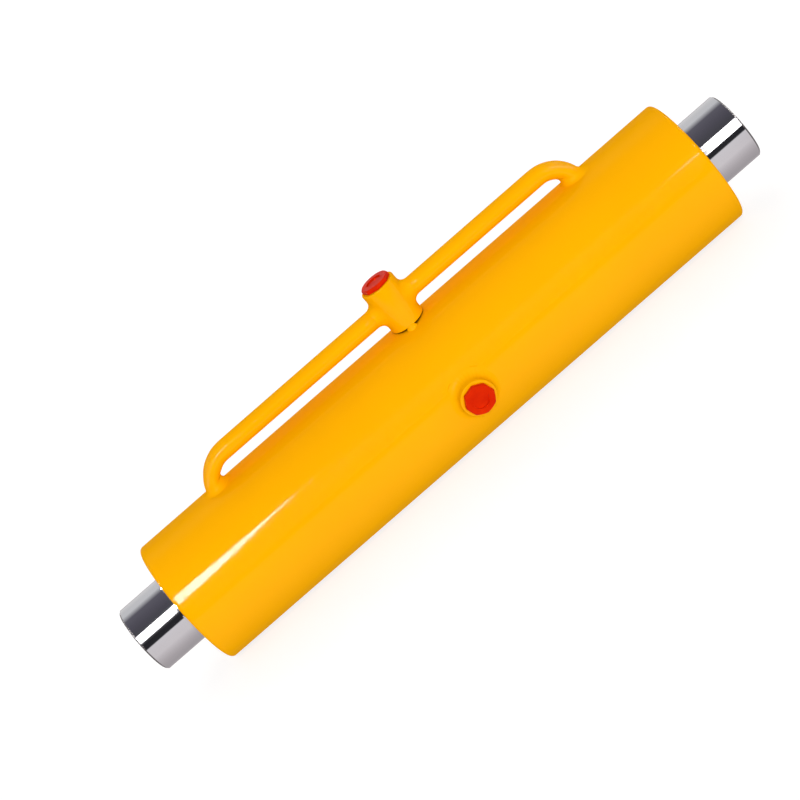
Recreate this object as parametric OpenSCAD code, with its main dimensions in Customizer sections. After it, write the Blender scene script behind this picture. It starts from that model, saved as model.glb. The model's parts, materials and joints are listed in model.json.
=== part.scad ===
// Double-ended hydraulic cylinder: one barrel, two opposed pistons and rods.
// The centre port pushes both rods out together, and the tee port pulls them back in
// through a bent transfer pipe to each end of the barrel.
// Frame: +X along the barrel, +Z along the tee port, origin on the barrel's axis at mid-length.
// All sizes are in millimetres.

/* [Barrel] */
// Outside diameter of the barrel tube
barrel_d = 121; // [119:1:125]
// Bore of the barrel tube
bore_d = 100; // [98:1:101]
// Length of the barrel tube from end face to end face
barrel_len = 570; // [550:10:640]
// Rounding of the outside corner at each end
end_round = 3.5; // [1:0.5:4]

/* [Rods] */
// Diameter of the chromed rods where they run in the glands
rod_d = 65; // [60:1:65]
// Diameter of the rod nose, turned down so that a burr never reaches the seals
nose_d = 64.2; // [59:0.1:64.2]
// Length of the turned-down nose
nose_len = 43; // [30:1:43]
// How far the right rod stands out of the barrel at rest
right_rod_out = 44; // [44:1:48]
// How far the left rod stands out of the barrel at rest
left_rod_out = 48; // [44:1:48]
// Chamfer round each rod nose
nose_chamfer = 1.5; // [1:0.5:4]

/* [Glands] */
// Thread diameter of the screwed glands
gland_thread_d = 105; // [104:1:108]
// How deep each gland's face sits inside the barrel's end
gland_recess = 3; // [1:0.5:3]
// Depth of each gland's inner stop face, measured from the barrel's end
gland_depth = 98; // [96:1:100]
// Diameter of the gland's stop nose, which keeps the end port uncovered
stop_nose_d = 88; // [80:1:90]

/* [Pistons] */
// Length of each piston
piston_len = 46; // [46:1:50]
// Diameter of the rod's spigot inside the piston
spigot_d = 50; // [48:1:52]
// Diameter of the thread that holds the piston nut
nut_thread_d = 45; // [42:1:46]
// Width across the flats of the piston nut
nut_flats = 65; // [60:1:70]
// Thickness of the piston nut
nut_h = 24; // [20:1:24]

/* [Ports] */
// How far the tee lies to the right of the barrel's middle
tee_x = 13; // [0:1:15]
// How far the centre port lies to the right of the barrel's middle
centre_port_x = 15; // [0:1:15]
// Diameter of the tee block
tee_d = 32; // [30:1:34]
// Height of the tee block
tee_h = 42; // [42:1:46]
// Diameter of the centre port's boss
boss_d = 32; // [30:1:34]
// How far the centre port's face stands above the top of the barrel's wall
boss_h = 10; // [8:1:16]
// Angle round the barrel from the tee port to the centre port
port_angle = 95; // [80:1:100]
// Wall diameter of the threaded part of both ports
port_thread_d = 18.6; // [14:0.1:19]
// Length of thread in both ports
port_thread_len = 12; // [10:0.5:12]

/* [Transfer pipes] */
// Outside diameter of the transfer pipes
pipe_d = 17.2; // [16:0.1:18]
// Inside diameter of the transfer pipes
pipe_bore_d = 12.6; // [9:0.1:12.6]
// Radius of each pipe's bend, at the middle of the pipe
pipe_bend_r = 24; // [24:1:30]
// Distance from the barrel's left end to the middle of the left pipe's foot
left_pipe_inset = 85; // [84:1:94]
// Distance from the barrel's right end to the middle of the right pipe's foot
right_pipe_inset = 89; // [84:1:94]

/* [Hidden] */
$fn = 96;

paint = [0.96, 0.68, 0.02];
steel = [0.62, 0.63, 0.65];
chrome = [0.85, 0.86, 0.88];
seal_blue = [0.16, 0.24, 0.42];
rubber = [0.08, 0.08, 0.09];
guide_brown = [0.42, 0.26, 0.14];
cap_red = [0.86, 0.12, 0.05];

barrel_r = barrel_d / 2;
bore_r = bore_d / 2;
rod_r = rod_d / 2;
end_x = barrel_len / 2;
eps = 0.01;
over = 1;
running_gap = 0.05;
loose_gap = 0.4;

// Gland, by depth from the barrel's end
gland_thread_r = gland_thread_d / 2;
thread_end = 46;
counterbore_end = 48;
register_end = 72;
register_r = bore_r - 0.05;
gland_bore_r = rod_r + loose_gap;
stop_nose_r = stop_nose_d / 2;
wiper_housing = [gland_recess, 11];
wiper_housing_r = rod_r + 7;
rod_seal_groove = [19, 30.5];
rod_seal_groove_r = rod_r + 7.5;
buffer_groove = [37, 43.5];
buffer_groove_r = rod_r + 7.75;
guide_grooves = [[50, 65], [71, 86]];
guide_groove_r = rod_r + 2.5;
o_ring_groove = [55, 64];
o_ring_groove_r = bore_r - 4.5;
spanner_hole_d = 8;
spanner_pcd = 92;
spanner_hole_depth = 10;

// Rod and piston, by distance from the rod's inner end
rod_len = end_x + right_rod_out - 1;
thread_tip = 6;
nut_end = thread_tip + nut_h;
shoulder = nut_end + piston_len;
piston_r = bore_r - 0.3;
piston_guide_w = 10;
piston_guide_at = [4, piston_len - 4 - piston_guide_w];
piston_guide_groove_r = bore_r - 2.5;
piston_seal_w = 8;
piston_seal_at = (piston_len - piston_seal_w) / 2;
piston_seal_groove_r = bore_r - 7.5;
slide_ring_r = bore_r - 2.8;
rod_o_ring_at = nut_end + piston_len / 2;
rod_o_ring_section = 3;

// Ports and pipes
tee_foot_gap = 0.2;
tee_foot = barrel_r + tee_foot_gap;
tee_mouth = barrel_r + tee_h;
pipe_axis = barrel_r + tee_h / 2;
bend_z = pipe_axis - pipe_bend_r;
pipe_lean = asin((barrel_r - bend_z) / pipe_bend_r);
boss_face = barrel_r + boss_h;
boss_foot = bore_r + 3;
drill_d = 13;
end_port_d = 12;
cap_recess_d = 21.8;
cap_recess_depth = 3.5;
thread_start = cap_recess_depth;

// Welds
foot_weld_leg = 5.5;
foot_weld_rise = 5.5;
tee_weld_leg = 6;
tee_weld_rise = 4.5;
boss_weld_leg = 7;
boss_weld_rise = 6;
tack_d = 9;

// Caps
cap_head_d = 27.6;
cap_head_h = 4;
cap_stem_d = 21.4;
cap_stem_len = 3.2;
cap_gap = 0.1;
cap_dish_d = 15;
cap_dish_depth = 1.2;
cap_turn = 38.5;

// Builds on the right for side = 1 and mirrors to the left for side = -1
module on_side(side) {
    if (side < 0) mirror([1, 0, 0]) children();
    else children();
}

// Revolves an outline of [radius, x] points about the X axis
module turned(outline) {
    rotate([0, 90, 0]) rotate_extrude() polygon(outline);
}

// A ring about the X axis from radius r1 to r2 and from x1 to x2
module ring(r1, r2, x1, x2) {
    turned([[r1, x1], [r2, x1], [r2, x2], [r1, x2]]);
}

// The same, by depths from the barrel's right-hand end
module gland_ring(r1, r2, depths) {
    ring(r1, r2, end_x - depths[1], end_x - depths[0]);
}

// A ring of round section about the X axis
module round_ring(r, section_d, x) {
    translate([x, 0, 0]) rotate([0, 90, 0]) rotate_extrude() translate([r, 0])
        circle(d = section_d, $fn = 32);
}

// Moves to the tee, whose axis is +Z
module at_tee() {
    translate([tee_x, 0, 0]) children();
}

// Moves to the centre port and turns +Z to the port's axis
module at_centre_port() {
    translate([centre_port_x, 0, 0]) rotate([port_angle, 0, 0]) children();
}

// Distance from the middle of the barrel to the middle of a pipe's foot
function foot_x(side) = end_x - (side < 0 ? left_pipe_inset : right_pipe_inset);

// Distance from the middle of the barrel to the start of a pipe's bend
function bend_x(side) = foot_x(side) - pipe_bend_r * cos(pipe_lean);

// Points along an arc about a centre, from one angle to another
function arc(centre, r, from, to, steps = 6) = [
    for (i = [0 : steps])
        let (a = from + (to - from) * i / steps)
            centre + r * [cos(a), sin(a)]
];

// The section of a weld in the corner of +X and +Y, whose root lies sink deep beyond the corner
module weld_section(leg_x, leg_y, sink) {
    lip = 0.4;
    hollow = 0.38;
    polygon([
        [-sink, -sink],
        [leg_x, -sink],
        [leg_x, lip],
        [leg_x * hollow, leg_y * hollow],
        [lip, leg_y],
        [-sink, leg_y],
    ]);
}

// The solid that the barrel's outside wall encloses
module barrel_envelope() {
    rotate([0, 90, 0]) cylinder(r = barrel_r, h = barrel_len, center = true, $fn = 360);
}

module barrel_tube() {
    counterbore = end_x - counterbore_end;
    lead_in = gland_thread_r - bore_r;
    corner = [barrel_r - end_round, end_x - end_round];
    color(paint) difference() {
        turned(concat(
            [[bore_r, -counterbore + lead_in], [gland_thread_r, -counterbore], [gland_thread_r, -end_x]],
            arc([corner.x, -corner.y], end_round, -90, 0),
            arc(corner, end_round, 0, 90),
            [[gland_thread_r, end_x], [gland_thread_r, counterbore], [bore_r, counterbore - lead_in]]
        ));
        for (side = [-1, 1]) translate([side * foot_x(side), 0, 0])
            cylinder(d = end_port_d, h = barrel_r + over);
        at_centre_port() {
            cylinder(d = drill_d, h = barrel_r + over);
            translate([0, 0, boss_foot]) cylinder(d = boss_d, h = barrel_r);
        }
    }
}

// Cuts a port with its mouth at height z: cap recess, thread and drilling
module port_cut(z, drill_end) {
    thread_end_z = z - thread_start - port_thread_len;
    translate([0, 0, z - cap_recess_depth]) cylinder(d = cap_recess_d, h = cap_recess_depth + over);
    translate([0, 0, thread_end_z]) cylinder(d = port_thread_d, h = port_thread_len + eps);
    translate([0, 0, drill_end]) cylinder(d = drill_d, h = thread_end_z - drill_end + eps);
}

module tee_block() {
    edge = 0.8;
    color(paint) at_tee() difference() {
        rotate_extrude() polygon([
            [0, tee_foot],
            [tee_d / 2 - edge, tee_foot],
            [tee_d / 2, tee_foot + edge],
            [tee_d / 2, tee_mouth - edge],
            [tee_d / 2 - edge, tee_mouth],
            [0, tee_mouth],
        ]);
        port_cut(tee_mouth, pipe_axis);
        translate([0, 0, pipe_axis]) rotate([0, 90, 0])
            cylinder(d = pipe_bore_d, h = tee_d + 2 * over, center = true);
    }
}

module centre_port_boss() {
    edge = 0.8;
    color(paint) at_centre_port() difference() {
        rotate_extrude() polygon([
            [0, boss_foot],
            [boss_d / 2, boss_foot],
            [boss_d / 2, boss_face - edge],
            [boss_d / 2 - edge, boss_face],
            [0, boss_face],
        ]);
        port_cut(boss_face, boss_foot - over);
    }
}

// The transfer pipe's path with any section, from the tee's axis down into the barrel's wall
module pipe_sweep(d, side) {
    translate([side * tee_x, 0, pipe_axis]) rotate([0, 90, 0])
        cylinder(d = d, h = bend_x(side) - side * tee_x);
    translate([bend_x(side), 0, bend_z]) rotate([90, 0, 0]) rotate_extrude(angle = 90)
        translate([pipe_bend_r, 0]) circle(d = d);
}

module transfer_pipe(side) {
    color(paint) on_side(side) difference() {
        pipe_sweep(pipe_d, side);
        pipe_sweep(pipe_bore_d, side);
        barrel_envelope();
        translate([side * tee_x, 0, 0]) cylinder(d = tee_d, h = tee_mouth);
    }
}

module pipe_foot_weld(side) {
    color(paint) on_side(side) difference() {
        translate([foot_x(side), 0, barrel_r]) rotate_extrude()
            translate([pipe_d / 2, 0]) weld_section(foot_weld_leg, foot_weld_rise, 5);
        barrel_envelope();
        pipe_sweep(pipe_d, side);
    }
}

module tee_pipe_weld(side) {
    color(paint) on_side(side) difference() {
        translate([side * tee_x + tee_d / 2, 0, pipe_axis]) rotate([0, 90, 0]) rotate_extrude()
            translate([pipe_d / 2, 0]) weld_section(tee_weld_rise, tee_weld_leg, 4);
        translate([side * tee_x, 0, 0]) cylinder(d = tee_d, h = tee_mouth);
        pipe_sweep(pipe_d, side);
    }
}

// One short tack ties the front of the tee's foot to the barrel
module tee_tack_weld() {
    color(paint) difference() {
        at_tee() translate([0, -tee_d / 2 - 0.7, barrel_r - 2.3]) sphere(d = tack_d, $fn = 48);
        barrel_envelope();
        at_tee() translate([0, 0, tee_foot]) cylinder(d = tee_d, h = tee_h);
    }
}

module port_boss_weld() {
    color(paint) difference() {
        at_centre_port() translate([0, 0, barrel_r]) rotate_extrude() difference() {
            translate([boss_d / 2, 0]) weld_section(boss_weld_leg, boss_weld_rise, 8);
            translate([-over, -barrel_r]) square([boss_d / 2 + over, 2 * barrel_r]);
        }
        barrel_envelope();
    }
}

module gland(side) {
    step_x = end_x - thread_end;
    color(paint) on_side(side) difference() {
        turned([
            [gland_bore_r, end_x - gland_depth],
            [stop_nose_r, end_x - gland_depth],
            [stop_nose_r, end_x - register_end],
            [register_r, end_x - register_end],
            [register_r, step_x - 2],
            [gland_thread_r - 2, step_x],
            [gland_thread_r, step_x],
            [gland_thread_r, end_x - gland_recess],
            [gland_bore_r, end_x - gland_recess],
        ]);
        gland_ring(gland_bore_r - over, wiper_housing_r, [wiper_housing[0] - over, wiper_housing[1]]);
        gland_ring(gland_bore_r - over, rod_seal_groove_r, rod_seal_groove);
        gland_ring(gland_bore_r - over, buffer_groove_r, buffer_groove);
        for (groove = guide_grooves) gland_ring(gland_bore_r - over, guide_groove_r, groove);
        gland_ring(o_ring_groove_r, register_r + over, o_ring_groove);
        for (turn = [45 : 90 : 315]) rotate([turn, 0, 0])
            translate([end_x - gland_recess - spanner_hole_depth, 0, spanner_pcd / 2])
                rotate([0, 90, 0]) cylinder(d = spanner_hole_d, h = spanner_hole_depth + over);
    }
}

module gland_o_ring(side) {
    section = bore_r - o_ring_groove_r;
    x = end_x - o_ring_groove[1] + section / 2 + 0.3;
    color(rubber) on_side(side) round_ring(bore_r - section / 2, section, x);
}

module gland_backup_ring(side) {
    thickness = 2.5;
    color(seal_blue) on_side(side)
        gland_ring(o_ring_groove_r, bore_r, [o_ring_groove[0], o_ring_groove[0] + thickness]);
}

module rod_wiper(side) {
    lip = end_x - gland_recess + 1.5;
    back = end_x - wiper_housing[1];
    front = end_x - gland_recess;
    color(seal_blue) on_side(side) turned([
        [rod_r + 1.5, back],
        [wiper_housing_r, back],
        [wiper_housing_r, front],
        [rod_r + 3.5, front],
        [rod_r + 2, lip],
        [rod_r + running_gap, lip],
        [rod_r + running_gap, lip - 2],
        [rod_r + 1.5, lip - 4],
    ]);
}

module rod_seal(side) {
    mouth = end_x - rod_seal_groove[1] + 0.5;
    heel = end_x - rod_seal_groove[0];
    color(seal_blue) on_side(side) turned([
        [rod_r + running_gap, mouth],
        [rod_r + 2.4, mouth],
        [rod_r + 3.75, mouth + 4],
        [rod_seal_groove_r - 2.4, mouth],
        [rod_seal_groove_r, mouth],
        [rod_seal_groove_r, heel],
        [rod_r + 0.5, heel],
        [rod_r + 0.5, mouth + 4],
        [rod_r + running_gap, mouth + 2.5],
    ]);
}

module buffer_seal(side) {
    color(seal_blue) on_side(side)
        gland_ring(rod_r + running_gap, buffer_groove_r, [buffer_groove[0], buffer_groove[1] - 0.3]);
}

module rod_guides(side) {
    color(guide_brown) on_side(side) for (groove = guide_grooves)
        gland_ring(rod_r + running_gap, guide_groove_r, [groove[0], groove[1] - 0.3]);
}

// Moves outwards from the place where the rod's inner end meets x = 0
module on_rod(side) {
    out = side < 0 ? left_rod_out : right_rod_out;
    on_side(side) translate([end_x + out - rod_len, 0, 0]) children();
}

module rod(side) {
    centre_depth = 6;
    centre_r = 4;
    nose_start = rod_len - nose_len;
    groove_half = rod_o_ring_section / 2 + 0.5;
    groove_r = spigot_d / 2 - rod_o_ring_section + 0.3;
    thread_r = nut_thread_d / 2;
    color(chrome) on_rod(side) turned([
        [0, centre_depth],
        [centre_r, 0],
        [thread_r - 2, 0],
        [thread_r, 2],
        [thread_r, nut_end],
        [spigot_d / 2, nut_end],
        [spigot_d / 2, rod_o_ring_at - groove_half],
        [groove_r, rod_o_ring_at - groove_half],
        [groove_r, rod_o_ring_at + groove_half],
        [spigot_d / 2, rod_o_ring_at + groove_half],
        [spigot_d / 2, shoulder],
        [rod_r - 1, shoulder],
        [rod_r, shoulder + 1],
        [rod_r, nose_start - 1],
        [nose_d / 2, nose_start],
        [nose_d / 2, rod_len - nose_chamfer],
        [nose_d / 2 - nose_chamfer, rod_len],
        [centre_r, rod_len],
        [0, rod_len - centre_depth],
    ]);
}

module piston(side) {
    color(steel) on_rod(side) difference() {
        turned([
            [spigot_d / 2, nut_end],
            [piston_r - 2, nut_end],
            [piston_r, nut_end + 2],
            [piston_r, shoulder - 2],
            [piston_r - 2, shoulder],
            [spigot_d / 2, shoulder],
        ]);
        for (at = piston_guide_at)
            ring(piston_guide_groove_r, piston_r + over, nut_end + at, nut_end + at + piston_guide_w);
        ring(
            piston_seal_groove_r, piston_r + over,
            nut_end + piston_seal_at, nut_end + piston_seal_at + piston_seal_w
        );
    }
}

module piston_nut(side) {
    color(steel) on_rod(side) translate([thread_tip, 0, 0]) rotate([0, 90, 0]) difference() {
        intersection() {
            cylinder(d = nut_flats / cos(30), h = nut_h, $fn = 6);
            cylinder(d = nut_flats + 7, h = nut_h);
        }
        translate([0, 0, -over]) cylinder(d = nut_thread_d, h = nut_h + 2 * over);
    }
}

module piston_seal(side) {
    at = nut_end + piston_seal_at;
    color(seal_blue) on_rod(side)
        ring(slide_ring_r, bore_r - running_gap, at + 0.1, at + piston_seal_w - 0.1);
}

module seal_energizer(side) {
    section = slide_ring_r - piston_seal_groove_r;
    color(rubber) on_rod(side)
        round_ring(slide_ring_r - section / 2, section, nut_end + piston_len / 2);
}

module piston_guides(side) {
    color(guide_brown) on_rod(side) for (at = piston_guide_at)
        ring(
            piston_guide_groove_r, bore_r - running_gap,
            nut_end + at + 0.1, nut_end + at + piston_guide_w - 0.1
        );
}

module rod_o_ring(side) {
    section = rod_o_ring_section - 0.3;
    color(rubber) on_rod(side)
        round_ring(spigot_d / 2 - section / 2, section, rod_o_ring_at);
}

// Transport cap with an eight-sided head, whose seat is at height z
module port_cap(z) {
    color(cap_red) translate([0, 0, z + cap_gap]) difference() {
        union() {
            intersection() {
                rotate([0, 0, cap_turn]) cylinder(d = cap_head_d, h = cap_head_h, $fn = 8);
                cylinder(d1 = cap_head_d + 6, d2 = cap_head_d - 2.4, h = cap_head_h);
            }
            translate([0, 0, -cap_stem_len]) cylinder(d = cap_stem_d, h = cap_stem_len + over);
        }
        translate([0, 0, cap_head_h - cap_dish_depth])
            cylinder(d = cap_dish_d, h = cap_dish_depth + over);
    }
}

barrel_tube();
tee_block();
centre_port_boss();
transfer_pipe(-1);  // transfer_pipe_left
transfer_pipe(1);  // transfer_pipe_right
pipe_foot_weld(-1);  // pipe_foot_weld_left
pipe_foot_weld(1);  // pipe_foot_weld_right
tee_pipe_weld(-1);  // tee_pipe_weld_left
tee_pipe_weld(1);  // tee_pipe_weld_right
tee_tack_weld();
port_boss_weld();
gland(-1);  // gland_left
gland(1);  // gland_right
gland_o_ring(-1);  // gland_o_ring_left
gland_o_ring(1);  // gland_o_ring_right
gland_backup_ring(-1);  // gland_backup_ring_left
gland_backup_ring(1);  // gland_backup_ring_right
rod_wiper(-1);  // rod_wiper_left
rod_wiper(1);  // rod_wiper_right
rod_seal(-1);  // rod_seal_left
rod_seal(1);  // rod_seal_right
buffer_seal(-1);  // buffer_seal_left
buffer_seal(1);  // buffer_seal_right
rod_guides(-1);  // rod_guides_left
rod_guides(1);  // rod_guides_right
rod(-1);  // rod_left
rod(1);  // rod_right
piston(-1);  // piston_left
piston(1);  // piston_right
piston_nut(-1);  // piston_nut_left
piston_nut(1);  // piston_nut_right
piston_seal(-1);  // piston_seal_left
piston_seal(1);  // piston_seal_right
seal_energizer(-1);  // seal_energizer_left
seal_energizer(1);  // seal_energizer_right
piston_guides(-1);  // piston_guides_left
piston_guides(1);  // piston_guides_right
rod_o_ring(-1);  // rod_o_ring_left
rod_o_ring(1);  // rod_o_ring_right
at_centre_port() port_cap(boss_face);  // centre_port_cap
at_tee() port_cap(tee_mouth);  // tee_port_cap
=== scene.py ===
"""Looks of the double-ended hydraulic cylinder: paint, welds, chrome, caps, studio and camera."""
import json
import math
import random

import bmesh
import bpy
from mathutils import Matrix, Vector
from mathutils.geometry import intersect_line_line


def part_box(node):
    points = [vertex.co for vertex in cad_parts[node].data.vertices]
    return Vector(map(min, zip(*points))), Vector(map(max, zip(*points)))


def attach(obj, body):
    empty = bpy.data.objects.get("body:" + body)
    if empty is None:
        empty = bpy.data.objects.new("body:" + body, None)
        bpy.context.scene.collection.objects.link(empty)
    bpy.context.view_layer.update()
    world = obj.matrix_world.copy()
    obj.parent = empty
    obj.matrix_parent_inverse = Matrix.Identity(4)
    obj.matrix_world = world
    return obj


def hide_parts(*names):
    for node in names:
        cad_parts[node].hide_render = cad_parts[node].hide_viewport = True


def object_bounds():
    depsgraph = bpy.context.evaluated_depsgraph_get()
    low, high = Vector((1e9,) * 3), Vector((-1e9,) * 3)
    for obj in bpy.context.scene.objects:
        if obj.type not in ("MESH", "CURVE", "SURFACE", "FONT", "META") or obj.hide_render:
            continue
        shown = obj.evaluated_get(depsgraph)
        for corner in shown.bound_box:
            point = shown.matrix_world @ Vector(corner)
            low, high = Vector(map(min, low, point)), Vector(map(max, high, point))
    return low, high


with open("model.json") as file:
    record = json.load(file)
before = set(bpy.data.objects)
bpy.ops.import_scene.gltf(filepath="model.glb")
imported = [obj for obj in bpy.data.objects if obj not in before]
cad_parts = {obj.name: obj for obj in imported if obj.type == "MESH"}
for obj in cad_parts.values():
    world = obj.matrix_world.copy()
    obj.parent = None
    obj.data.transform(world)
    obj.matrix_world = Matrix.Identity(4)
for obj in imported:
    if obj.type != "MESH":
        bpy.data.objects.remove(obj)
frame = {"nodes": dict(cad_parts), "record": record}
cad_lo, cad_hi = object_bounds()
nodes = frame["nodes"]
scene = bpy.context.scene

MM = 0.001
X_AXIS = Vector((1, 0, 0))
Z_AXIS = Vector((0, 0, 1))
BLACK = (0, 0, 0)
WHITE = (1, 1, 1)
OPAQUE_WHITE = (1, 1, 1, 1)


# ---- node graphs -------------------------------------------------------------------------------

def empty_material(name):
    """A material with no shader yet, its node tree and the socket that the shader goes into."""
    material = bpy.data.materials.new(name)
    material.use_nodes = True
    tree = material.node_tree
    tree.nodes.clear()
    output = add(tree, "ShaderNodeOutputMaterial")
    return material, tree, output.inputs["Surface"]


def new_material(name):
    material, tree, surface = empty_material(name)
    shader = add(tree, "ShaderNodeBsdfPrincipled")
    tree.links.new(shader.outputs[0], surface)
    return material, tree, shader


def connect(tree, socket, value):
    """Links another node's output to a socket, or sets a plain value on it."""
    if isinstance(value, bpy.types.NodeSocket):
        tree.links.new(value, socket)
    else:
        socket.default_value = value


def add(tree, kind, inputs=None, **settings):
    node = tree.nodes.new(kind)
    for key, value in settings.items():
        setattr(node, key, value)
    for key, value in (inputs or {}).items():
        connect(tree, node.inputs[key], value)
    return node


def feed(tree, shader, **sockets):
    for name, value in sockets.items():
        connect(tree, shader.inputs[name.replace("_", " ")], value)


def place(tree, scale=(1, 1, 1)):
    """Object coordinates, stretched along the axes."""
    source = add(tree, "ShaderNodeTexCoord").outputs["Object"]
    return add(tree, "ShaderNodeMapping", {"Vector": source, "Scale": scale}).outputs[0]


def along_axis(tree, vector, axis):
    return add(tree, "ShaderNodeSeparateXYZ", {0: vector}).outputs[axis]


def noise(tree, vector, scale, detail=2.0, rough=0.5):
    inputs = {"Vector": vector, "Scale": scale, "Detail": detail, "Roughness": rough}
    return add(tree, "ShaderNodeTexNoise", inputs).outputs["Fac"]


def calculate(tree, operation, *values):
    return add(tree, "ShaderNodeMath", dict(enumerate(values)), operation=operation).outputs[0]


def multiply_colours(tree, first, second):
    inputs = {"Factor": 1.0, 6: first, 7: second}
    settings = {"data_type": "RGBA", "blend_type": "MULTIPLY"}
    return add(tree, "ShaderNodeMix", inputs, **settings).outputs[2]


def ramp(tree, value, stops):
    node = add(tree, "ShaderNodeValToRGB", {"Fac": value})
    elements = node.color_ramp.elements
    while len(elements) < len(stops):
        elements.new(0.5)
    for element, (at, colour) in zip(elements, stops):
        element.position = at
        element.color = (*colour, 1)
    return node.outputs["Color"]


def spread(tree, value, low, high, to_low, to_high):
    inputs = {
        "Value": value, "From Min": low, "From Max": high, "To Min": to_low, "To Max": to_high,
    }
    return add(tree, "ShaderNodeMapRange", inputs).outputs["Result"]


def bump(tree, height, distance, strength=1.0, normal=None):
    inputs = {"Height": height, "Distance": distance, "Strength": strength}
    if normal is not None:
        inputs["Normal"] = normal
    return add(tree, "ShaderNodeBump", inputs).outputs["Normal"]


def choose_shader(tree, ray, otherwise, for_ray):
    """One shader for the rays that a Light Path output marks, and another for the rest."""
    inputs = {0: ray, 1: otherwise.outputs[0], 2: for_ray.outputs[0]}
    return add(tree, "ShaderNodeMixShader", inputs)


# ---- materials ---------------------------------------------------------------------------------

def yellow_paint(name, gloss, gloss_low, gloss_high):
    """Thick enamel: orange peel, slow colour drift, dust in the gloss, and painted shade that
    darkens the colour in narrow gaps.
    """
    gap_width = 0.005
    coat_ior = 1.45
    material, tree, shader = new_material(name)
    spot = place(tree)
    drift = noise(tree, spot, 9, 3)
    colour = ramp(tree, drift, [(0.30, (0.89, 0.384, 0.0)), (0.70, (0.92, 0.404, 0.0))])
    # painted shade: ambient occlusion darkens the base colour in gaps, creases and at weld toes
    occlusion = add(tree, "ShaderNodeAmbientOcclusion", {"Distance": gap_width}, samples=6)
    painted_shade = ramp(
        tree, occlusion.outputs["AO"],
        [(0.0, (0.06, 0.045, 0.04)), (0.22, (0.16, 0.12, 0.10)), (0.48, (0.90, 0.86, 0.85)),
         (0.6, WHITE)],
    )
    surface = bump(tree, noise(tree, spot, 60, 1), 0.0002, 0.06)
    orange_peel = bump(tree, noise(tree, spot, 420, 1.5), 0.00006, 0.22, surface)
    dust = spread(tree, noise(tree, spot, 140, 4, 0.65), 0.45, 0.8, gloss_low, gloss_high)
    facing = add(tree, "ShaderNodeLayerWeight", {"Blend": 0.5}).outputs["Facing"]
    feed(
        tree, shader, Base_Color=multiply_colours(tree, colour, painted_shade), Roughness=0.5,
        Normal=surface, Coat_Weight=spread(tree, facing, 0.20, 0.55, gloss, 0.2 * gloss),
        Coat_Roughness=dust, Coat_IOR=coat_ior, Coat_Normal=orange_peel, Specular_IOR_Level=0.0,
    )
    return material


def ground_chrome():
    """Hard chrome on the round surfaces. Chamfers are painted dark, a painted dark reflection along
    the rod's end edge, and end faces are turned.
    """
    # painted dark reflection: the colour that darkens the chamfers at the rod ends
    painted_dark_chamfer = (0.32, 0.30, 0.29)
    turned_face = (0.72, 0.72, 0.72)
    rings_per_metre = 2600
    material, tree, shader = new_material("ground_chrome")
    cloud = noise(tree, place(tree), 14, 2)
    tint = ramp(tree, cloud, [(0.3, (0.56, 0.55, 0.57)), (0.7, (0.61, 0.60, 0.62))])
    normal = add(tree, "ShaderNodeTexCoord").outputs["Normal"]
    slope = calculate(tree, "ABSOLUTE", along_axis(tree, normal, "X"))
    by_slope = ramp(
        tree, slope,
        [(0.0, WHITE), (0.44, WHITE), (0.52, painted_dark_chamfer), (0.86, painted_dark_chamfer),
         (0.94, turned_face), (1.0, turned_face)],
    )
    haze = spread(tree, noise(tree, place(tree), 45, 4), 0.3, 0.8, 0.054, 0.060)
    turned = spread(tree, slope, 0.45, 0.55, 0.0, 0.2)
    from_axis = add(
        tree, "ShaderNodeVectorMath", {0: place(tree, (0, 1, 1))}, operation="LENGTH"
    ).outputs["Value"]
    radius = add(tree, "ShaderNodeCombineXYZ", {0: from_axis}).outputs[0]
    rings = noise(tree, radius, rings_per_metre, 1)
    feed(
        tree, shader, Base_Color=multiply_colours(tree, tint, by_slope), Metallic=1.0,
        Roughness=calculate(tree, "ADD", haze, turned),
        Normal=bump(tree, calculate(tree, "MULTIPLY", rings, turned), 0.0007, 0.35),
    )
    return material


def turned_steel():
    """Bare machined steel: turning marks across the axis and a slow stain."""
    marks_across_axis = (4000, 50, 50)
    material, tree, shader = new_material("turned_steel")
    marks = noise(tree, place(tree, marks_across_axis), 1, 2)
    stain = noise(tree, place(tree), 60, 4)
    feed(
        tree, shader, Metallic=1.0,
        Base_Color=ramp(tree, stain, [(0.3, (0.34, 0.34, 0.35)), (0.7, (0.48, 0.48, 0.49))]),
        Roughness=spread(tree, stain, 0.3, 0.7, 0.28, 0.42),
        Normal=bump(tree, marks, 0.00003, 0.4),
    )
    return material


def red_cap():
    """Injection-moulded polyethylene: a little translucent, satin, with mould grain and scuffs."""
    light_depth = (0.004, 0.001, 0.0005)
    material, tree, shader = new_material("red_cap")
    spot = place(tree)
    scuffs = noise(tree, spot, 90, 4, 0.6)
    sink_marks = bump(tree, noise(tree, spot, 70, 2), 0.0002, 0.3)
    feed(
        tree, shader,
        Base_Color=ramp(tree, scuffs, [(0.35, (0.60, 0.014, 0.0)), (0.75, (0.70, 0.024, 0.0))]),
        Roughness=spread(tree, scuffs, 0.3, 0.8, 0.30, 0.45),
        Normal=bump(tree, noise(tree, spot, 900, 2), 0.00004, 0.3, sink_marks),
        Subsurface_Weight=0.12, Subsurface_Radius=light_depth, Subsurface_Scale=0.4,
        Specular_IOR_Level=0.04,
    )
    return material


def moulded(name, dark, light, roughness, grain_scale=500):
    """Seals, rings and O-rings: one moulded or sawn plastic with its own colour."""
    material, tree, shader = new_material(name)
    spot = place(tree)
    mottle = noise(tree, spot, 80, 3)
    feed(
        tree, shader, Base_Color=ramp(tree, mottle, [(0.3, dark), (0.7, light)]),
        Roughness=spread(tree, mottle, 0.3, 0.7, roughness - 0.06, roughness + 0.08),
        Normal=bump(tree, noise(tree, spot, grain_scale, 2), 0.00005, 0.35),
    )
    return material


# ---- finishes on the CAD pieces ----------------------------------------------------------------

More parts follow.
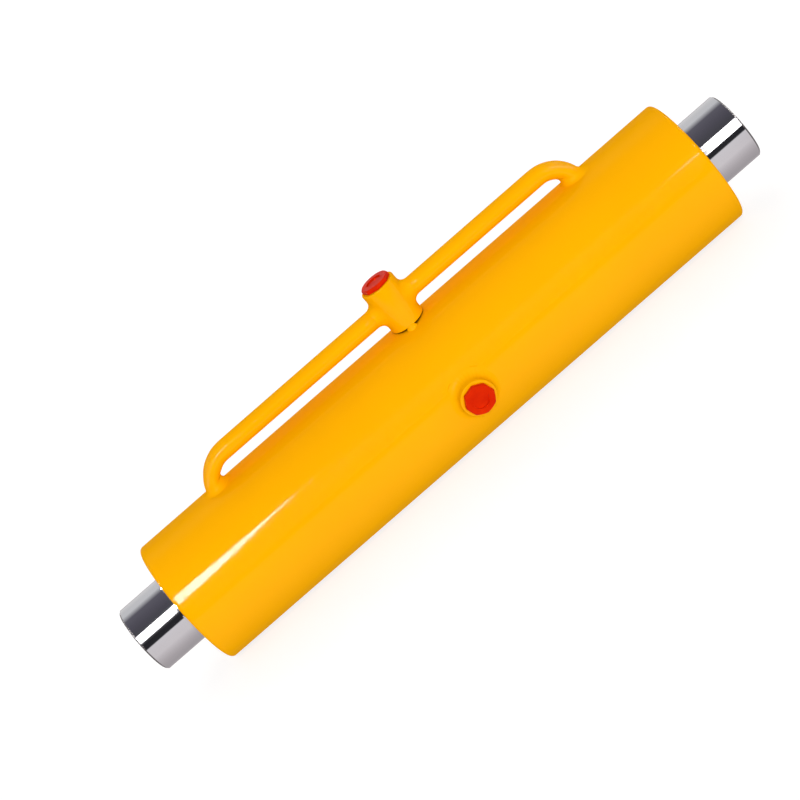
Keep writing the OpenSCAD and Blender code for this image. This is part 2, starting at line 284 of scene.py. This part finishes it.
paint = yellow_paint("yellow_paint", gloss=0.20, gloss_low=0.06, gloss_high=0.15)
weld_paint = yellow_paint("paint_on_welds", gloss=0.05, gloss_low=0.25, gloss_high=0.40)
finishes = {
    "paint": paint,
    "chrome": ground_chrome(),
    "steel": turned_steel(),
    "seal": moulded("blue_polyurethane", (0.012, 0.035, 0.12), (0.02, 0.055, 0.17), 0.32),
    "guide": moulded("brown_resin", (0.16, 0.075, 0.03), (0.24, 0.12, 0.05), 0.5, 900),
    "rubber": moulded("black_nitrile", (0.008, 0.008, 0.009), (0.02, 0.02, 0.022), 0.5),
    "cap": red_cap(),
}
slot_of = {row["node"]: row["material_slot"] for row in frame["record"]["subparts"]}

for name, node in nodes.items():
    node.data.materials.clear()
    node.data.materials.append(finishes[slot_of[name]])


# ---- shapes shared by the pipes, welds and ports -----------------------------------------------

BEND_RADIUS = 24 * MM
QUARTER_BEND = BEND_RADIUS * math.pi / 2
PIPE_BORE_R = 6.3 * MM
PIPE_SHRINK = 0.15 * MM      # how much less the drawn pipe's radius is than the CAD pipe's
BURIED = 0.06 * MM           # how far a weld's edges lie under the surfaces they join
RUN_ON = 0.6 * MM            # how far a weld's edges run on under those surfaces

barrel_lo, barrel_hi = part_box("barrel_tube")
barrel_r = (barrel_hi.z - barrel_lo.z) / 2
tee_lo, tee_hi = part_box("tee_block")
tee_x = (tee_lo.x + tee_hi.x) / 2
tee_r = (tee_hi.x - tee_lo.x) / 2
ports = {mount["name"]: mount for mount in frame["record"]["mounts"]}
centre_port = ports["centre_port"]
port_outward = Vector(centre_port["axis"]).normalized()
port_origin = Vector((centre_port["pos_m"][0], 0, 0))


def smooth(value):
    """A soft step from 0 to 1."""
    value = min(max(value, 0.0), 1.0)
    return value * value * (3 - 2 * value)


def circle(count):
    return [2 * math.pi * i / count for i in range(count)]


def scene_object(name, shape, materials):
    """Puts a bmesh into the scene as an object."""
    mesh = bpy.data.meshes.new(name)
    shape.to_mesh(mesh)
    shape.free()
    for material in materials:
        mesh.materials.append(material)
    made = bpy.data.objects.new(name, mesh)
    scene.collection.objects.link(made)
    return made


def ring_mesh(name, node, sections, finish, looped=True, bare_rows=()):
    """Skins closed sections into one closed mesh for a CAD node. Bare rows stay unpainted."""
    shape = bmesh.new()
    rows = [[shape.verts.new(point) for point in section] for section in sections]
    following = rows[1:] + rows[:1] if looped else rows[1:]
    for row, after in zip(rows, following):
        for j in range(len(row)):
            k = (j + 1) % len(row)
            face = shape.faces.new((row[j], row[k], after[k], after[j]))
            face.material_index = 1 if j in bare_rows else 0
    if not looped:
        shape.faces.new(rows[0])
        shape.faces.new(rows[-1])
    for face in shape.faces:
        face.smooth = True
    bmesh.ops.remove_doubles(shape, verts=shape.verts, dist=1e-6)
    bmesh.ops.recalc_face_normals(shape, faces=shape.faces)
    materials = [finish, finishes["steel"]] if bare_rows else [finish]
    piece = scene_object(name, shape, materials)
    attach(piece, "barrel")
    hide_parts(node)


def unevenness(seed, amount):
    """A slow random variation round a hand-made weld, centred on 1."""
    draw = random.Random(seed)
    waves = [(count, draw.uniform(0, 2 * math.pi)) for count in (2, 3, 5, 7)]

    def factor(turn):
        return 1 + amount * sum(math.sin(count * turn + phase) / count for count, phase in waves)

    return factor


def bead(name, node, turns, section_at, ripples, ripple_height, looped=True):
    """A fillet weld. At each turn section_at gives the toe and the way the surface runs on from it,
    the top and the way the surface runs on from there, a root inside the joint, and the fullness:
    0 is tangent to both surfaces and 1 is flat."""
    steps = 14
    ripple_lean = 1.6
    sections = []
    for turn in turns:
        toe, toe_way, top, top_way, root, fullness = section_at(turn)
        near_toe, near_top = intersect_line_line(toe, toe - toe_way, top, top - top_way)
        corner, chord = (near_toe + near_top) / 2, (toe + top) / 2
        control = corner.lerp(chord, fullness)
        outward = (chord - corner).normalized()
        line = [toe + RUN_ON * toe_way]
        for j in range(steps + 1):
            t = j / steps
            crest = math.sin(math.pi * t)
            ripple = crest * math.sin(ripples * turn + ripple_lean * crest)
            curve = (1 - t) ** 2 * toe + 2 * t * (1 - t) * control + t * t * top
            line.append(curve + outward * ripple_height * ripple)
        line.append(top + RUN_ON * top_way)
        sections.append(line + [root])
    ring_mesh(name, node, sections, weld_paint, looped)


# ---- transfer pipes and their welds ------------------------------------------------------------

class TransferPipe:
    """A pipe from the tee to one end of the barrel, flattened a little where it was bent."""

    def __init__(self, side, node, flat_outside, flat_at_foot, flat_inside):
        """Side is -1 for the left pipe and 1 for the right one. The flats are in millimetres."""
        lo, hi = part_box(node)
        self.side = side
        self.node = node
        self.flat_outside = flat_outside * MM
        self.flat_at_foot = flat_at_foot * MM
        self.flat_inside = flat_inside * MM
        self.r = (hi.y - lo.y) / 2 - PIPE_SHRINK
        self.axis_z = hi.z - (hi.y - lo.y) / 2
        self.bend_z = self.axis_z - BEND_RADIUS
        far = max(-lo.x, hi.x)
        reach = BEND_RADIUS + (hi.y - lo.y) / 2
        self.bend_x = far - math.sqrt(reach ** 2 - (barrel_r - self.bend_z) ** 2)

    def point(self, at, turn, bore_r=None):
        """A point on the pipe, or on its bore. At is the distance past the start of the bend, and
        turn 0 is the bend's outer side."""
        swing = max(at, 0.0) / BEND_RADIUS
        done = at / QUARTER_BEND
        outer = side_r = self.r if bore_r is None else bore_r
        across = math.cos(turn)
        outside_share = smooth((1 + across) / 2)
        flat = self.flat_outside * smooth((done + 0.15) / 0.5)
        flat -= (self.flat_outside - self.flat_at_foot) * smooth((done - 0.55) / 0.4)
        dent = self.flat_inside * smooth((done - 0.35) / 0.5)
        outer -= outside_share * flat + (1 - outside_share) * dent
        if bore_r is None:
            side_r += 0.5 * MM * smooth(done / 0.4)
        height = self.bend_z + (BEND_RADIUS + outer * across) * math.cos(swing)
        out = self.bend_x + min(at, 0.0) + (BEND_RADIUS + outer * across) * math.sin(swing)
        return Vector((self.side * out, side_r * math.sin(turn), height))

    def build(self):
        """From inside the tee, in long steps to just before the bend, then in short ones."""
        before_bend = 6 * MM
        into_tee = 3.5 * MM
        long_steps, short_steps = 8, 40
        start = self.side * tee_x + tee_r - into_tee - self.bend_x
        end = BEND_RADIUS * math.radians(87.5)
        path = [
            start * (1 - i / long_steps) - before_bend * (i / long_steps)
            for i in range(long_steps + 1)
        ]
        path += [
            -before_bend + (end + before_bend) * i / short_steps
            for i in range(1, short_steps + 1)
        ]
        sections = []
        for turn in circle(64):
            outside = [self.point(at, turn) for at in path]
            inside = [self.point(at, turn, PIPE_BORE_R) for at in reversed(path)]
            sections.append(outside + inside)
        ring_mesh("bent_" + self.node, self.node, sections, paint)

    def at_height(self, turn, height):
        """How far past the start of the bend this side of the pipe comes down to a height."""
        low, high = 0.5 * QUARTER_BEND, QUARTER_BEND
        for _ in range(24):
            half = (low + high) / 2
            if self.point(half, turn).z > height:
                low = half
            else:
                high = half
        return low

    def foot_weld(self, node, seed, outer, inner):
        """The weld on the barrel. Outer and inner are its leg and rise in millimetres, away from
        the tee and towards it."""
        leg_of, rise_of = unevenness(seed, 0.10), unevenness(seed + 1, 0.08)
        front_leg_cut, front_rise_cut = 0.50, 0.30
        root_depth = 1.2 * MM

        def section_at(turn):
            inward = (1 - math.cos(turn)) / 2
            front = max(0.0, -math.sin(turn))
            leg = outer[0] + (inner[0] - outer[0]) * inward
            leg *= (1 - front_leg_cut * front) * leg_of(turn) * MM
            rise = outer[1] + (inner[1] - outer[1]) * inward
            rise *= (1 - front_rise_cut * front) * rise_of(turn) * MM
            ground = math.sqrt(barrel_r ** 2 - self.point(QUARTER_BEND, turn).y ** 2)
            corner = self.point(self.at_height(turn, ground), turn)
            away = Vector((self.side * math.cos(turn), math.sin(turn), 0))

            fall = math.asin(corner.y / barrel_r) + leg * away.y / barrel_r
            toe_r = barrel_r - BURIED
            toe = Vector((
                corner.x + leg * away.x, toe_r * math.sin(fall), toe_r * math.cos(fall),
            ))
            toe_way = Vector((away.x, away.y * math.cos(fall), -away.y * math.sin(fall)))

            top_at = self.at_height(turn, ground + rise)
            top = self.point(top_at, turn)
            top_way = (self.point(top_at - 0.2 * MM, turn) - top).normalized()
            outer_foot, inner_foot = self.point(QUARTER_BEND, 0), self.point(QUARTER_BEND, math.pi)
            into_pipe = Vector(((outer_foot.x + inner_foot.x) / 2, 0, top.z)) - top
            top += into_pipe.normalized() * BURIED

            root = corner - (away + Z_AXIS) * root_depth
            return toe, toe_way, top, top_way, root, 0.20 + 0.40 * inward

        bead("bead_" + node, node, circle(144), section_at, 26, 0.05 * MM)

    def tee_weld(self, node, seed):
        """A smooth concave fillet between the pipe and the round tee."""
        leg_of, rise_of = unevenness(seed, 0.06), unevenness(seed + 1, 0.06)
        leg_size, rise_size = 6.4 * MM, 7.2 * MM
        buried = BURIED / 3
        root_depth = 1.2 * MM
        top_way = self.side * X_AXIS

        def section_at(turn):
            y, up = math.cos(turn), math.sin(turn)
            leg, rise = leg_size * leg_of(turn), rise_size * rise_of(turn)
            swing = math.asin(self.r * y / tee_r)
            corner = Vector((
                tee_x + self.side * tee_r * math.cos(swing), self.r * y,
                self.axis_z + self.r * up,
            ))
            swing += leg * y / tee_r
            toe_r = tee_r - buried
            toe = Vector((
                tee_x + self.side * toe_r * math.cos(swing), toe_r * math.sin(swing),
                self.axis_z + (self.r + leg) * up,
            ))
            toe_way = Vector((-self.side * y * math.sin(swing), y * math.cos(swing), up))
            lean = Vector((0, y, up))
            top = corner + top_way * rise - lean * buried
            root = corner - (lean + top_way) * root_depth
            return toe, toe_way, top, top_way, root, 0.06

        bead("bead_" + node, node, circle(144), section_at, 24, 0.05 * MM)


# ---- ports, the centre port's weld and the tack weld -------------------------------------------

BLOCK_EDGE = 0.9 * MM                                 # rounding of a block's outer edges
RECESS_R, RECESS_DEPTH = 10.9 * MM, 3.5 * MM          # the mouth that holds the cap
RECESS_CORNER = 0.1 * MM
MOUTH_CHAMFER = [(0.5 * MM, 0.0), (0.15 * MM, 0.12 * MM), (0.0, 0.5 * MM)]
THREAD_CREST_R, THREAD_DEPTH = 9.3 * MM, 1.15 * MM    # G1/2 pipe thread
THREAD_PITCH, THREAD_END = 1.814 * MM, 15.5 * MM
DRILL_R = 6.5 * MM
DRILL_SHOULDER, DRILL_POINT = 1.6 * MM, 3.5 * MM
BOSS_FACE = 70.5 * MM                                 # from the barrel's axis
BOSS_DEPTH = 17.5 * MM


def rounded_edge(centre_r, centre_depth, start):
    """A quarter circle in a block's profile, from the angle start in degrees."""
    steps = 5
    turns = [math.radians(start + 90 * i / steps) for i in range(steps + 1)]
    return [
        (centre_r + BLOCK_EDGE * math.cos(a), centre_depth - BLOCK_EDGE * math.sin(a))
        for a in turns
    ]


def thread_profile(turn):
    """Radius and depth down the threaded wall, with its lead-in and its run-out."""
    rows_to_a_pitch = 14
    flank, crest_flat = 1.25, 0.12
    lead_in_start, lead_in_slope = 1.2 * MM, 1.1
    length = THREAD_END - RECESS_DEPTH
    rows = int(length / THREAD_PITCH * rows_to_a_pitch)
    profile = []
    for i in range(rows + 1):
        depth = RECESS_DEPTH + length * i / rows
        phase = ((depth - RECESS_DEPTH) / THREAD_PITCH - turn / (2 * math.pi)) % 1.0
        groove = min(1.0, max(0.0, flank * (1 - abs(2 * phase - 1)) - crest_flat))
        run_out = smooth((THREAD_END - depth) / (0.8 * THREAD_PITCH))
        lead_in = THREAD_CREST_R + lead_in_start - lead_in_slope * (depth - RECESS_DEPTH)
        profile.append((max(THREAD_CREST_R + THREAD_DEPTH * groove * run_out, lead_in), depth))
    return profile


def threaded_block(name, node, mouth, outward, radius, height, bore_depth):
    """A round block with a recess for the cap, a real thread, then the drilled hole."""
    around = outward.cross(X_AXIS)
    blind = bore_depth < height
    shell = [(0.0 if blind else DRILL_R, height)]
    shell += rounded_edge(radius - BLOCK_EDGE, height - BLOCK_EDGE, -90)
    shell += rounded_edge(radius - BLOCK_EDGE, BLOCK_EDGE, 0)
    shell += [(RECESS_R + extra_r, depth) for extra_r, depth in MOUTH_CHAMFER]
    shell += [(RECESS_R, RECESS_DEPTH - RECESS_CORNER), (RECESS_R - RECESS_CORNER, RECESS_DEPTH)]
    hole = [(DRILL_R, THREAD_END + DRILL_SHOULDER)]
    if blind:
        hole += [(DRILL_R, bore_depth), (0.0, bore_depth + DRILL_POINT)]
    sections = []
    for turn in circle(160):
        profile = shell + thread_profile(turn) + hole
        spoke = X_AXIS * math.cos(turn) + around * math.sin(turn)
        sections.append([mouth + spoke * r - outward * depth for r, depth in profile])
    bare = range(len(shell) - 2, len(sections[0]) - 1)
    ring_mesh(name, node, sections, paint, bare_rows=bare)


def port_boss_weld():
    """The big concave fillet round the centre port's boss, whose axis is the port's."""
    boss_lo, boss_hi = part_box("centre_port_boss")
    boss_r = (boss_hi.x - boss_lo.x) / 2
    around = port_outward.cross(X_AXIS)
    leg_of, rise_of = unevenness(31, 0.05), unevenness(32, 0.05)
    leg_size, rise_size = 7.2 * MM, 6.6 * MM
    root_depth = 1.5 * MM

    def on_barrel(swing, x, r):
        spoke = math.cos(swing) * port_outward + math.sin(swing) * around
        return port_origin + X_AXIS * x + r * spoke

    def section_at(turn):
        x, lean = math.cos(turn), math.sin(turn)
        leg, rise = leg_size * leg_of(turn), rise_size * rise_of(turn)
        swing = math.asin(boss_r * lean / barrel_r)
        fall = swing + leg * lean / barrel_r
        corner = on_barrel(swing, boss_r * x, barrel_r)
        toe = on_barrel(fall, (boss_r + leg) * x, barrel_r - BURIED)
        toe_way = X_AXIS * x + lean * (math.cos(fall) * around - math.sin(fall) * port_outward)
        away = X_AXIS * x + around * lean
        top = corner + port_outward * rise - away * BURIED
        root = corner - (away + port_outward) * root_depth
        return toe, toe_way, top, port_outward, root, 0.02

    bead("bead_port_boss_weld", "port_boss_weld", circle(180), section_at, 34, 0.07 * MM)


def tack_weld():
    """One short low blob that ties the front of the tee's foot to the barrel."""
    half_width = math.radians(18)
    middle_turn = math.radians(-4)
    steps = 28
    end_thickness = 0.03
    leg_size, rise_size = 2.6 * MM, 4.2 * MM
    root_in, root_down = 1.5 * MM, 0.8 * MM
    tee_axis = tee_x * X_AXIS

    def section_at(turn):
        swell = math.cos(math.pi / 2 * turn / half_width) + end_thickness
        at = middle_turn + turn
        outward = Vector((math.sin(at), -math.cos(at), 0))
        foot = tee_axis + (tee_r - BURIED) * outward
        corner = foot + math.sqrt(barrel_r ** 2 - foot.y ** 2) * Z_AXIS
        reach = tee_axis + (tee_r + leg_size * swell) * outward
        toe_z = math.sqrt(barrel_r ** 2 - reach.y ** 2)
        toe = reach + (toe_z - BURIED) * Z_AXIS
        toe_way = (outward - outward.y * reach.y / toe_z * Z_AXIS).normalized()
        top = corner + rise_size * swell * Z_AXIS
        root = corner - (outward * root_in + Z_AXIS * root_down) * swell
        return toe, toe_way, top, Z_AXIS, root, 1.1

    turns = [half_width * (2 * i / steps - 1) for i in range(steps + 1)]
    bead(
        "bead_tee_tack_weld", "tee_tack_weld", turns, section_at, 20, 0.08 * MM, looped=False,
    )


left_pipe = TransferPipe(-1, "transfer_pipe_left", 1.8, 0.1, 2.2)
left_pipe.build()
left_pipe.foot_weld("pipe_foot_weld_left", 36, outer=(4.8, 5.0), inner=(9.6, 8.0))
left_pipe.tee_weld("tee_pipe_weld_left", 56)
right_pipe = TransferPipe(1, "transfer_pipe_right", 1.2, 0.4, 1.0)
right_pipe.build()
right_pipe.foot_weld("pipe_foot_weld_right", 44, outer=(8.6, 5.6), inner=(6.6, 8.4))
right_pipe.tee_weld("tee_pipe_weld_right", 64)
threaded_block(
    "threaded_tee", "tee_block", Vector((tee_x, 0, tee_hi.z)), Z_AXIS,
    radius=tee_r, height=tee_hi.z - tee_lo.z,
    bore_depth=tee_hi.z - left_pipe.axis_z + PIPE_BORE_R,
)
threaded_block(
    "threaded_boss", "centre_port_boss", port_origin + port_outward * BOSS_FACE, port_outward,
    radius=tee_r, height=BOSS_DEPTH, bore_depth=BOSS_DEPTH,
)
port_boss_weld()
tack_weld()


# ---- studio ------------------------------------------------------------------------------------

length = cad_hi.x - cad_lo.x
middle = (barrel_lo + barrel_hi) / 2

CAMERA_ELEVATION = math.radians(21)
CAMERA_ROLL = math.radians(41.04)
CAMERA_DISTANCE = 2.96 * length
CAMERA_LENS = 104.5
TARGET_RIGHT, TARGET_UP = -0.0518 * length, -0.0230 * length
TOWARD_CAMERA = Vector((0, -math.cos(CAMERA_ELEVATION), math.sin(CAMERA_ELEVATION)))
CARD_DISTANCE = 1.8
FLOOR_RADIUS = 14
FLOOR_GAP = 0.0003
BOUNCED_LIGHT = 0.56     # what diffuse rays see of the floor and of the world


def make_camera():
    """The barrel runs from lower left to upper right, a little right of and above the middle."""
    up_the_frame = Vector((0, math.sin(CAMERA_ELEVATION), math.cos(CAMERA_ELEVATION)))
    right = math.cos(CAMERA_ROLL) * X_AXIS - math.sin(CAMERA_ROLL) * up_the_frame
    up = math.sin(CAMERA_ROLL) * X_AXIS + math.cos(CAMERA_ROLL) * up_the_frame
    target = middle + TARGET_RIGHT * right + TARGET_UP * up
    eye = middle + CAMERA_DISTANCE * TOWARD_CAMERA
    back = (eye - target).normalized()
    right = (right - right.dot(back) * back).normalized()
    turned = Matrix((right, back.cross(right), back)).transposed().to_4x4()
    data = bpy.data.cameras.new("camera")
    data.lens = CAMERA_LENS
    data.clip_start = 0.05
    data.clip_end = 100
    camera = bpy.data.objects.new("camera", data)
    camera.matrix_world = Matrix.Translation(eye) @ turned
    scene.collection.objects.link(camera)
    scene.camera = camera


def make_floor():
    """A pale sheet that glows like a light table. Gloss sees it darken away from the object."""
    material, tree, surface = empty_material("pale_floor")
    shader = add(tree, "ShaderNodeBsdfPrincipled")
    speckle = noise(tree, place(tree), 30, 3)
    feed(
        tree, shader, Roughness=0.8, Specular_IOR_Level=0.0,
        Base_Color=ramp(tree, speckle, [(0.3, (0.29, 0.29, 0.29)), (0.7, (0.31, 0.31, 0.31))]),
        Emission_Color=OPAQUE_WHITE, Emission_Strength=0.79,
    )
    in_front = spread(tree, along_axis(tree, place(tree), "Y"), 0, -1.0, 0, 1)
    seen = ramp(
        tree, in_front,
        [(0.0, (0.52, 0.49, 0.50)), (0.03, (0.64, 0.60, 0.61)), (0.085, (0.95, 0.91, 0.92)),
         (0.42, (0.98, 0.96, 0.98)), (0.60, (0.05, 0.05, 0.055)), (1.0, (0.03, 0.03, 0.035))],
    )
    reflected = add(tree, "ShaderNodeEmission", {"Color": seen, "Strength": 1.0})
    bounced = add(tree, "ShaderNodeEmission", {"Color": OPAQUE_WHITE, "Strength": BOUNCED_LIGHT})
    rays = add(tree, "ShaderNodeLightPath").outputs
    lit = choose_shader(tree, rays["Is Diffuse Ray"], shader, bounced)
    mix = choose_shader(tree, rays["Is Glossy Ray"], lit, reflected)
    tree.links.new(mix.outputs[0], surface)
    shape = bmesh.new()
    bmesh.ops.create_circle(shape, cap_ends=True, segments=96, radius=FLOOR_RADIUS)
    floor = scene_object("floor", shape, [material])
    floor.location.z = barrel_lo.z - FLOOR_GAP


def heading(azimuth, elevation):
    """Direction from the object: azimuth 0 is towards -Y, and 90 towards +X."""
    a, e = math.radians(azimuth), math.radians(elevation)
    return Vector((math.sin(a) * math.cos(e), -math.cos(a) * math.cos(e), math.sin(e)))


def reflection_card(name, lower_edge, upper_edge, radiance):
    """A glowing card seen only in gloss. Each edge lists (x in metres, elevation in degrees)."""
    material, tree, surface = empty_material(name)
    glow = add(tree, "ShaderNodeEmission", {"Color": OPAQUE_WHITE, "Strength": radiance})
    tree.links.new(glow.outputs[0], surface)
    shape = bmesh.new()
    outline = [
        shape.verts.new(middle + CARD_DISTANCE * heading(0, elevation) + x * X_AXIS)
        for x, elevation in lower_edge + upper_edge[::-1]
    ]
    shape.faces.new(outline)
    bmesh.ops.triangulate(shape, faces=shape.faces)
    card = scene_object(name, shape, [material])
    card.visible_camera = False
    card.visible_diffuse = False
    card.visible_shadow = False


def rod_card(name, near_x, far_x, low, high):
    reflection_card(name, [(near_x, low), (far_x, low)], [(near_x, high), (far_x, high)], 5)


def broad_light(name, energy, width, elevation):
    """A sun that gives diffuse light only. Width and elevation are in degrees."""
    data = bpy.data.lights.new(name, "SUN")
    data.energy = energy
    data.angle = math.radians(width)
    light = bpy.data.objects.new(name, data)
    light.rotation_euler = heading(0, elevation).to_track_quat("Z", "Y").to_euler()
    light.visible_glossy = False
    scene.collection.objects.link(light)


def make_lights():
    """Light from in front and behind, and the cards that draw streaks on paint and chrome."""
    broad_light("front_light", 2.55, 40, 10)
    broad_light("back_light", 0.9, 60, 140)
    rod_card("left_rod_card", -0.90, -0.560, 18, 42.5)
    rod_card("right_rod_card", 0.556, 0.90, 9.5, 38.5)
    reflection_card(
        "left_card",
        [(-0.558, 26), (-0.444, 29), (-0.40, 32), (-0.36, 35.5), (-0.30, 38)],
        [(-0.558, 41.2), (-0.478, 40.2), (-0.444, 38.8), (-0.30, 38.6)],
        100,
    )
    reflection_card("right_tip", [(0.50, 25.5), (0.550, 24)], [(0.50, 26), (0.550, 27.5)], 40)


def background(tree, colour, strength):
    return add(tree, "ShaderNodeBackground", {"Color": colour, "Strength": strength})


def make_world():
    """Even white light all round. Gloss sees bands from front to back, black at the front, dark
    overhead and pale behind, and two bright strips towards the ends."""
    world = bpy.data.worlds.new("studio")
    world.use_nodes = True
    tree = world.node_tree
    tree.nodes.clear()
    direction = add(tree, "ShaderNodeTexCoord").outputs["Generated"]
    front = calculate(tree, "MULTIPLY", along_axis(tree, direction, "Y"), -1.0)
    turn = calculate(tree, "ARCTAN2", along_axis(tree, direction, "Z"), front)
    over = spread(tree, turn, 0, math.pi, 0, 1)
    seen = ramp(
        tree, over,
        [(0.0, (0.03, 0.03, 0.035)), (0.06, (0.03, 0.03, 0.035)), (0.12, (0.25, 0.25, 0.26)),
         (0.24, (0.09, 0.09, 0.105)), (0.40, (0.125, 0.12, 0.15)), (0.58, (0.17, 0.165, 0.20)),
         (0.70, (0.85, 0.87, 0.88)), (1.0, (0.88, 0.88, 0.88))],
    )
    strips = ramp(
        tree, over,
        [(0.225, BLACK), (0.235, WHITE), (0.262, WHITE), (0.272, BLACK),
         (0.690, BLACK), (0.700, WHITE), (0.727, WHITE), (0.737, BLACK)],
    )
    sideways = calculate(tree, "ABSOLUTE", along_axis(tree, direction, "X"))
    lit_ends = spread(tree, sideways, 0.45, 0.60, 0, 45)
    bands = background(tree, seen, 1.0)
    end_strips = background(tree, OPAQUE_WHITE, calculate(tree, "MULTIPLY", strips, lit_ends))
    glossy = add(tree, "ShaderNodeAddShader", {0: bands.outputs[0], 1: end_strips.outputs[0]})
    rays = add(tree, "ShaderNodeLightPath").outputs
    soft = background(tree, OPAQUE_WHITE, BOUNCED_LIGHT)
    backdrop = background(tree, OPAQUE_WHITE, 1.0)
    unseen = choose_shader(tree, rays["Is Glossy Ray"], soft, glossy)
    mix = choose_shader(tree, rays["Is Camera Ray"], unseen, backdrop)
    output = add(tree, "ShaderNodeOutputWorld")
    tree.links.new(mix.outputs[0], output.inputs["Surface"])
    scene.world = world


make_camera()
make_floor()
make_world()
make_lights()
scene.view_settings.view_transform = "Standard"
